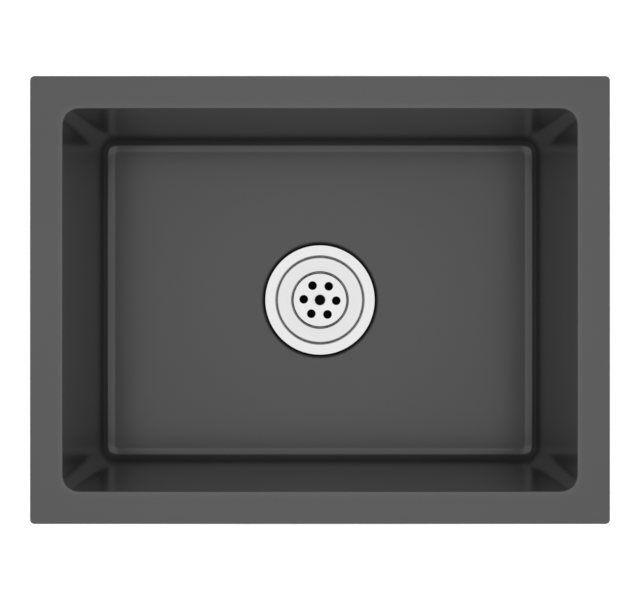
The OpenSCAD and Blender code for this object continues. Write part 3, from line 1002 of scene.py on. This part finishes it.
def add_gap(bm, z, inner_r, outer_r, middle):
    """Draws a closed wire round the gap between two spokes."""
    starts, ends = [], []
    for radius in (inner_r, outer_r):
        half = math.pi / SPOKES - math.asin(SPOKE_W / 2 / radius)
        starts.append(bm.verts.new(around(radius, middle - half, z)))
        arc = bmesh.ops.spin(
            bm, geom=starts[-1:], cent=(0, 0, 0), axis=(0, 0, 1), dvec=(0, 0, 0), angle=2 * half,
            steps=GAP_STEPS, use_merge=False, use_duplicate=False)
        ends += verts_of(arc["geom_last"])
    bm.edges.new(starts)
    bm.edges.new(ends)


def post_guide():
    bottom, top = low("post_guide").z, high("post_guide").z
    outer_r = high("post_guide").x
    bm = bmesh.new()
    add_circle(bm, (0, 0, top), outer_r, segments=120)
    add_circle(bm, (0, 0, top), GUIDE_BORE_R)
    for index in range(SPOKES):
        add_gap(bm, top, GUIDE_HUB_R, outer_r - GUIDE_RING_W, ALL_ROUND * (index + 0.5) / SPOKES)
    fill_flat(bm, top)
    thicken(bm, top - bottom)
    ease(bm, CUT_EDGE)
    add_piece("stamped_post_guide", bm, "sink", "strainer_steel", "post_guide")


post_guide()

# %% [markdown]
# ## The two nuts
#
# Both nuts are die castings. Lugs could be boxes joined to a ring with a Boolean, but that leaves
# uneven faces that bevel badly. So each nut starts as a spun ring whose steps are counted so that
# whole faces make up the lugs or ribs, which are extruded outwards. A last bevel gives every edge
# the small radius of a casting.

# %% Lugs and ribs
FACING = 0.5
CAST_ROUND = 0.4


def extrude_region(bm, faces):
    """Extrudes faces, deletes the old ones, now inside, and gives back the new vertices."""
    made = bmesh.ops.extrude_face_region(bm, geom=faces)["geom"]
    bmesh.ops.delete(bm, geom=faces, context="FACES")
    return verts_of(made)


def push_out(bm, faces, direction, distance):
    """Extrudes faces to a plane square to a direction, at a distance from the axis."""
    for vert in extrude_region(bm, faces):
        vert.co += direction * (distance - vert.co.dot(direction))


def wall_faces(bm, direction, width, core_r, top):
    """The faces of the outer wall within a width, on one side, below a level."""
    chosen = []
    for face in bm.faces:
        centre = face.calc_center_median()
        ahead = centre.dot(direction)
        aside = (centre - direction * ahead).xy.length
        upright = abs(face.normal.z) < FACING
        if upright and ahead > core_r - 1 and aside < width / 2 and centre.z < top:
            chosen.append(face)
    return chosen


def grow_ribs(bm, count, width, core_r, reach, top):
    """Grows evenly spaced ribs or lugs from the outer wall, below a level."""
    for index in range(count):
        direction = around(1, ALL_ROUND * index / count)
        push_out(bm, wall_faces(bm, direction, width, core_r, top), direction, core_r + reach)


def add_casting(bm, node):
    bmesh.ops.recalc_face_normals(bm, faces=bm.faces)
    ease(bm, CAST_ROUND)
    add_piece(f"cast_{node}", bm, "sink", "die_cast", node)


print("castings are rounded by", CAST_ROUND, "mm")

# %% Locknut
LOCKNUT_STEPS = 240
LOCKNUT_R = 54.0
LUGS = 8
LUG_W = 9.0
LUG_REACH = 5.0
POCKET_EDGE = 3.0
WEB_W = 3.0
THREAD_SLACK = 0.15


def near_turn(point, count, half_width):
    """True where a point lies within half a width of one of the evenly spaced directions."""
    pitch = ALL_ROUND / count
    angle = math.atan2(point.y, point.x) % pitch
    return min(angle, pitch - angle) * point.xy.length < half_width


def locknut():
    bottom, top = low("locknut").z, high("locknut").z
    bore = NECK_OUT_R + THREAD_SLACK
    pocket_in = NECK_OUT_R + POCKET_EDGE
    pocket_out = LOCKNUT_R - POCKET_EDGE
    bm = turned([
        (bore, bottom), (pocket_in, bottom), (pocket_out, bottom), (LOCKNUT_R, bottom),
        (LOCKNUT_R, top), (bore, top)], steps=LOCKNUT_STEPS)
    grow_ribs(bm, LUGS, LUG_W, LOCKNUT_R, LUG_REACH, top)
    pocket = [
        face for face in bm.faces
        if face.normal.z < -FACING and pocket_in < face.calc_center_median().xy.length < pocket_out
        and not near_turn(face.calc_center_median(), LUGS, WEB_W / 2)]
    move(bm, (0, 0, (top - bottom) / 2), extrude_region(bm, pocket))
    add_casting(bm, "locknut")


locknut()

# %% [markdown]
# The coupling nut draws the tailpiece up to the collar. It is made in the same way, with ten ribs
# for a hand to grip. They stop short of the top, so its ring has one more loop at that level.

# %% Coupling nut
COUPLING_STEPS = 180
COUPLING_R = 28.05
RIBS = 10
RIB_W = 4.0
RIB_REACH = 1.6
RIB_STOP = 3.0
BORE_CHAMFER = 1.0


def coupling_nut():
    bottom, top = low("coupling_nut").z, high("coupling_nut").z
    bore = COLLAR_R + THREAD_SLACK
    lip_bore = TAIL_R + 2 * THREAD_SLACK
    bm = turned([
        (lip_bore, bottom), (COUPLING_R, bottom), (COUPLING_R, top - RIB_STOP), (COUPLING_R, top),
        (bore + BORE_CHAMFER, top), (bore, top - BORE_CHAMFER),
        (bore, TAIL_NECK_Z), (lip_bore, TAIL_NECK_Z)],
        steps=COUPLING_STEPS)
    grow_ribs(bm, RIBS, RIB_W, COUPLING_R, RIB_REACH, top - RIB_STOP)
    add_casting(bm, "coupling_nut")


coupling_nut()

# %% [markdown]
# ## The basket
#
# The basket is pressed from thin sheet and pierced with holes. A Boolean would cut them in one go,
# but it leaves long thin faces that show on polished steel. So a hole in the curved wall is made
# flat first: a small cell with a round hole, whose border is cut into as many parts as the spun
# bands above and below it have steps. The cell is wrapped round the wall, copied round the axis,
# and welded to its neighbours.

# %% A pierced cell
SIDE_HOLES = 20
CELL_ACROSS = 8
CELL_UP = 4
CELL_BORDER = 2 * (CELL_ACROSS + CELL_UP)
WELL_R = 28.8
SIDE_HOLE_R = 1.6


def pierced_cell(height):
    bm = bmesh.new()
    width = ALL_ROUND * WELL_R / SIDE_HOLES
    bmesh.ops.create_grid(bm, x_segments=1, y_segments=1, size=0.5)
    bmesh.ops.scale(bm, vec=(width, height, 1), verts=bm.verts)
    bmesh.ops.delete(bm, geom=bm.faces[:], context="FACES_ONLY")
    level = [edge for edge in bm.edges if abs(edge.verts[0].co.y - edge.verts[1].co.y) < TINY]
    upright = [edge for edge in bm.edges if edge not in level]
    bmesh.ops.subdivide_edges(bm, edges=level, cuts=CELL_ACROSS - 1)
    bmesh.ops.subdivide_edges(bm, edges=upright, cuts=CELL_UP - 1)
    bmesh.ops.create_circle(bm, segments=CELL_BORDER, radius=SIDE_HOLE_R)
    bmesh.ops.bridge_loops(bm, edges=bm.edges[:])
    return bm


def row_of_holes(height, level, shift):
    """Wraps a cell round the well and copies it all the way round."""
    bm = pierced_cell(height)
    for vert in bm.verts:
        vert.co = around(WELL_R, vert.co.x / WELL_R + shift, level + vert.co.y)
    copies = SIDE_HOLES - 1
    bmesh.ops.spin(
        bm, geom=bm.verts[:] + bm.edges[:] + bm.faces[:], cent=(0, 0, 0), axis=(0, 0, 1),
        dvec=(0, 0, 0), angle=ALL_ROUND * copies / SIDE_HOLES, steps=copies,
        use_merge=False, use_duplicate=True)
    return bm


print("a cell's border has", CELL_BORDER, "edges")

# %% [markdown]
# The sheet itself is two spun bands, the rim above the rows of holes and the bend below them. The
# drain floor is flat, so its holes are simply circles that the fill leaves open.

# %% Basket sheet
RIM_R = 44.5
RIM_DROP = 1.2
RIM_FALL = 1.3
SKIRT_H = 3.0
RIM_BEND = 1.6
WELL_BEND = 1.7
WELL_DEPTH = 22.0
BASKET_SHEET = 0.8
BASKET_EDGE = 0.12
SPINDLE_HOLE_R = 3.1
DRAIN_HOLES = 6
DRAIN_HOLE_R = 4.55
DRAIN_RING_R = 17.1
DRAIN_TURN = math.radians(-2.5)
ROW_SHARES = (0.38, 0.68)
RIM_Z = STRAINER_Z - RIM_DROP
WELL_EDGE_Z = RIM_Z - RIM_FALL
WELL_Z = RIM_Z - WELL_DEPTH
ROW_Z = [WELL_EDGE_Z - share * (WELL_EDGE_Z - WELL_Z) for share in ROW_SHARES]
ROW_H = ROW_Z[0] - ROW_Z[1]
BAND_STEPS = SIDE_HOLES * CELL_ACROSS


def basket_sheet():
    bm = spun([
        (RIM_R, RIM_Z - SKIRT_H), (RIM_R, RIM_Z, RIM_BEND), (WELL_R, WELL_EDGE_Z, WELL_BEND),
        (WELL_R, ROW_Z[0] + ROW_H / 2)], BAND_STEPS)
    join(bm, row_of_holes(ROW_H, ROW_Z[0], 0.0))
    join(bm, row_of_holes(ROW_H, ROW_Z[1], math.pi / SIDE_HOLES))
    join(bm, spun([
        (WELL_R, ROW_Z[1] - ROW_H / 2), (WELL_R, WELL_Z, WELL_BEND),
        (WELL_R - 2 * WELL_BEND, WELL_Z)], BAND_STEPS))
    add_circle(bm, (0, 0, WELL_Z), SPINDLE_HOLE_R)
    for index in range(DRAIN_HOLES):
        angle = DRAIN_TURN + ALL_ROUND * index / DRAIN_HOLES
        add_circle(bm, around(DRAIN_RING_R, angle, WELL_Z), DRAIN_HOLE_R)
    bmesh.ops.remove_doubles(bm, verts=bm.verts, dist=TINY)
    fill_flat(bm, WELL_Z)
    thicken(bm, BASKET_SHEET)
    ease(bm, BASKET_EDGE)
    return bm


add_piece("pierced_basket", basket_sheet(), "basket", "strainer_steel", "strainer_basket")

# %% [markdown]
# ## Knob, post and stopper
#
# The knob is a moulded cap with a waist for the fingers. It is screwed on a post, which carries
# the basket on its shoulder and the rubber stopper under it. Stacked cylinders would have hard
# steps, so all are turned profiles. Profiles that reach the axis are left open there, because the
# spin closes them in a pole.

# %% Knob
KNOB_R = 5.5
CROWN_R = 1.7
FOOT_R = 0.86 * KNOB_R
FOOT_H = 1.5
WAIST_R = 0.68 * KNOB_R
WAIST_H = 5.85
STUD_R = 2.4
STUD_H = 9.0
KNOB_Z, KNOB_TOP = low("knob").z, high("knob").z

knob = turned([
    (0, KNOB_Z + STUD_H),
    (STUD_R, KNOB_Z + STUD_H),
    (STUD_R, KNOB_Z),
    (FOOT_R, KNOB_Z, 0.4),
    (FOOT_R, KNOB_Z + FOOT_H, 0.5),
    (WAIST_R, KNOB_Z + WAIST_H, 2.5),
    (KNOB_R, KNOB_TOP - 2 * CROWN_R, 0.8),
    (KNOB_R, KNOB_TOP, CROWN_R),
    (0, KNOB_TOP),
], steps=96, closed=False, segments=6)
add_piece("lift_knob", knob, "stopper", "knob_black", "knob")

# %% Post
POST_R = 3.0
COLLET_R = STUD_R + 0.8
COLLET_H = 0.5
SHOULDER_R = 6.0
SHOULDER_Z = high("stopper").z
SHOULDER_TOP = low("strainer_basket").z - 0.1
CLIP_Z, CLIP_TOP = low("detent_clip").z, high("detent_clip").z
POST_Z, POST_TOP = low("post").z, high("post").z

post = turned([
    (0, POST_TOP),
    (STUD_R, POST_TOP, 0.2),
    (STUD_R, KNOB_Z),
    (POST_R, KNOB_Z, 0.2),
    (POST_R, SHOULDER_TOP),
    (SHOULDER_R, SHOULDER_TOP, 0.3),
    (SHOULDER_R, SHOULDER_Z, 0.3),
    (POST_R, SHOULDER_Z),
    (POST_R, CLIP_TOP, 0.2),
    (STUD_R, CLIP_TOP),
    (STUD_R, CLIP_Z),
    (COLLET_R, CLIP_Z),
    (COLLET_R, CLIP_Z - COLLET_H, 0.2),
    (STUD_R, POST_Z, 0.2),
    (0, POST_Z),
], steps=64, closed=False, segments=3)
add_piece("turned_post", post, "stopper", "strainer_steel", "post")

# %% [markdown]
# The stopper is a soft disc that covers the outlet: its lip lies on the cup's seat, and its hub
# grips the post. Rubber has no crisp corner, so every point of its profile has a bend, which is
# simpler than bevelling each edge afterwards.

# %% Stopper and washer
STOPPER_R = 25.5
STOPPER_HUB_R = 9.0
STOPPER_HOLLOW_R = 19.0
LIP_CHAMFER = 1.0
LIP_H = 3.2
LIP_DRAFT = 0.5
WASHER_R = 8.5
WASHER_TOP = high("stopper_washer").z

stopper = turned([
    (POST_R, WASHER_TOP, 0.2),
    (STOPPER_HOLLOW_R, WASHER_TOP, 0.8),
    (OUTLET_R + LIP_CHAMFER, CUP_Z, 0.6),
    (STOPPER_R - LIP_CHAMFER, CUP_Z, 0.5),
    (STOPPER_R, CUP_Z + LIP_CHAMFER, 0.4),
    (STOPPER_R - LIP_DRAFT, CUP_Z + LIP_H, 0.8),
    (STOPPER_HUB_R + 2, SHOULDER_Z - 1, 1.5),
    (STOPPER_HUB_R, SHOULDER_Z, 0.8),
    (POST_R, SHOULDER_Z, 0.2),
])
add_piece("rubber_stopper", stopper, "stopper", "seal_rubber", "stopper")

washer = flat_ring("stopper_washer", POST_R, WASHER_R, edge_r=0.15, steps=64)
add_piece("steel_washer", washer, "stopper", "strainer_steel", "stopper_washer")

# %% [markdown]
# The solids already have the exact shapes of the hexagon nut and the sprung clip, so drawing them
# again would only risk a misfit. A copy of each is welded, its flat faces are joined and its edges
# are broken. A clamped bevel would leave slivers on the clip's narrow faces, so its isn't clamped.

# %% Hexagon nut and sprung clip
FLAT_LIMIT = math.radians(1)


def dressed_copy(name, node, body, slot, edge, clamp=True):
    """Welds a copy of a node's mesh, joins its flat faces and breaks its edges."""
    bm = bmesh.new()
    bm.from_mesh(frame["nodes"][node].data)
    bmesh.ops.scale(bm, vec=(1 / MM, 1 / MM, 1 / MM), verts=bm.verts)
    bmesh.ops.remove_doubles(bm, verts=bm.verts, dist=TINY)
    bmesh.ops.dissolve_limit(
        bm, angle_limit=FLAT_LIMIT, use_dissolve_boundaries=False, verts=bm.verts, edges=bm.edges)
    ease(bm, edge, clamp=clamp)
    tidy(bm)
    add_piece(name, bm, body, slot, node)


dressed_copy("hex_nut", "stopper_nut", "stopper", "strainer_steel", edge=0.35)
dressed_copy("sprung_clip", "detent_clip", "stopper", "clip_nylon", edge=0.08, clamp=False)

# %% [markdown]
# ## Studio
#
# The photograph looks straight down from a little over a metre, and the camera's height decides
# how much smaller the floor looks than the mouth. A new camera already looks down, so it needs no
# aim, and its lens follows from the width that it sees at the flange.

# %% Camera
CAMERA_Z = 1.141
VIEW_WIDTH = 0.5627
SENSOR = 36.0

camera_data = bpy.data.cameras.new("camera")
camera_data.sensor_width = SENSOR
camera_data.lens = SENSOR * CAMERA_Z / VIEW_WIDTH
camera_data.clip_end = 10
camera = place("camera", camera_data)
camera.location = (0, 0, CAMERA_Z)
scene = bpy.context.scene
scene.camera = camera
print(f"camera {CAMERA_Z} m above the flange, lens {camera_data.lens:.1f} mm")

# %% [markdown]
# Lamps could light the sink, but polished steel shows every lamp's outline. So the light is a soft
# white room, painted on the sky: bright walls, a dimmer ceiling, and a wide lamp straight overhead.
# The flat flange and floor mirror the lamp, the bends mirror the ceiling round it, and the grooves
# stay dark, because they mirror other parts of the sink.

# %% Light
ROOM_WALLS = 1.0
CEILING = 0.775
WALLS_END = 0.3
CEILING_START = 0.67
LAMP = 0.27
LAMP_FOCUS = 30.0
BACKDROP = 1.0

world = bpy.data.worlds.new("studio")
world.use_nodes = True
background = world.node_tree.nodes["Background"]
background.inputs["Color"].default_value = (1, 1, 1, 1)
sky = Net(world.node_tree)
height = sky.add("ShaderNodeSeparateXYZ", {
    "Vector": sky.add("ShaderNodeTexCoord").outputs["Generated"]}).outputs["Z"]
spread = sky.math("POWER", sky.math("MAXIMUM", height, 0.0), LAMP_FOCUS)
room = sky.add("ShaderNodeMapRange", {
    "Value": height, "From Min": WALLS_END, "From Max": CEILING_START,
    "To Min": ROOM_WALLS, "To Max": CEILING}, interpolation_type="SMOOTHSTEP").outputs["Result"]
overhead = sky.math("MULTIPLY_ADD", spread, LAMP, room)
seen = sky.add("ShaderNodeLightPath").outputs["Is Camera Ray"]
shown = sky.add("ShaderNodeMix", {"Factor": seen, "A": overhead, "B": BACKDROP}).outputs["Result"]
world.node_tree.links.new(shown, background.inputs["Strength"])
scene.world = world
scene.view_settings.view_transform = "Standard"
print("room walls", ROOM_WALLS, "ceiling", CEILING, "overhead", round(CEILING + LAMP, 3))

# %% [markdown]
# The paper under the sink glows a little, so it stays white round the object but still takes the
# soft shadow. Its underside is clear, so it can't be seen from below.

# %% Paper floor
PAPER_HALF = 4.0

net = new_finish("paper")
white = net.add("ShaderNodeBsdfPrincipled", {
    "Base Color": (0.9, 0.9, 0.9, 1), "Roughness": 0.9,
    "Emission Color": (1, 1, 1, 1), "Emission Strength": 0.45})
clear = net.add("ShaderNodeBsdfTransparent")
behind = net.add("ShaderNodeNewGeometry").outputs["Backfacing"]
both = net.add("ShaderNodeMixShader", {0: behind, 1: white.outputs[0], 2: clear.outputs[0]})
net.add("ShaderNodeOutputMaterial", {"Surface": both.outputs[0]})

plane = bmesh.new()
bmesh.ops.create_grid(plane, x_segments=1, y_segments=1, size=PAPER_HALF)
move(plane, (0, 0, cad_low.z))
floor_mesh = bpy.data.meshes.new("floor")
plane.to_mesh(floor_mesh)
plane.free()
floor_mesh.materials.append(FINISHES["paper"])
floor = place("floor", floor_mesh)
print("paper", 2 * PAPER_HALF, "m wide, at", round(cad_low.z, 4), "m")
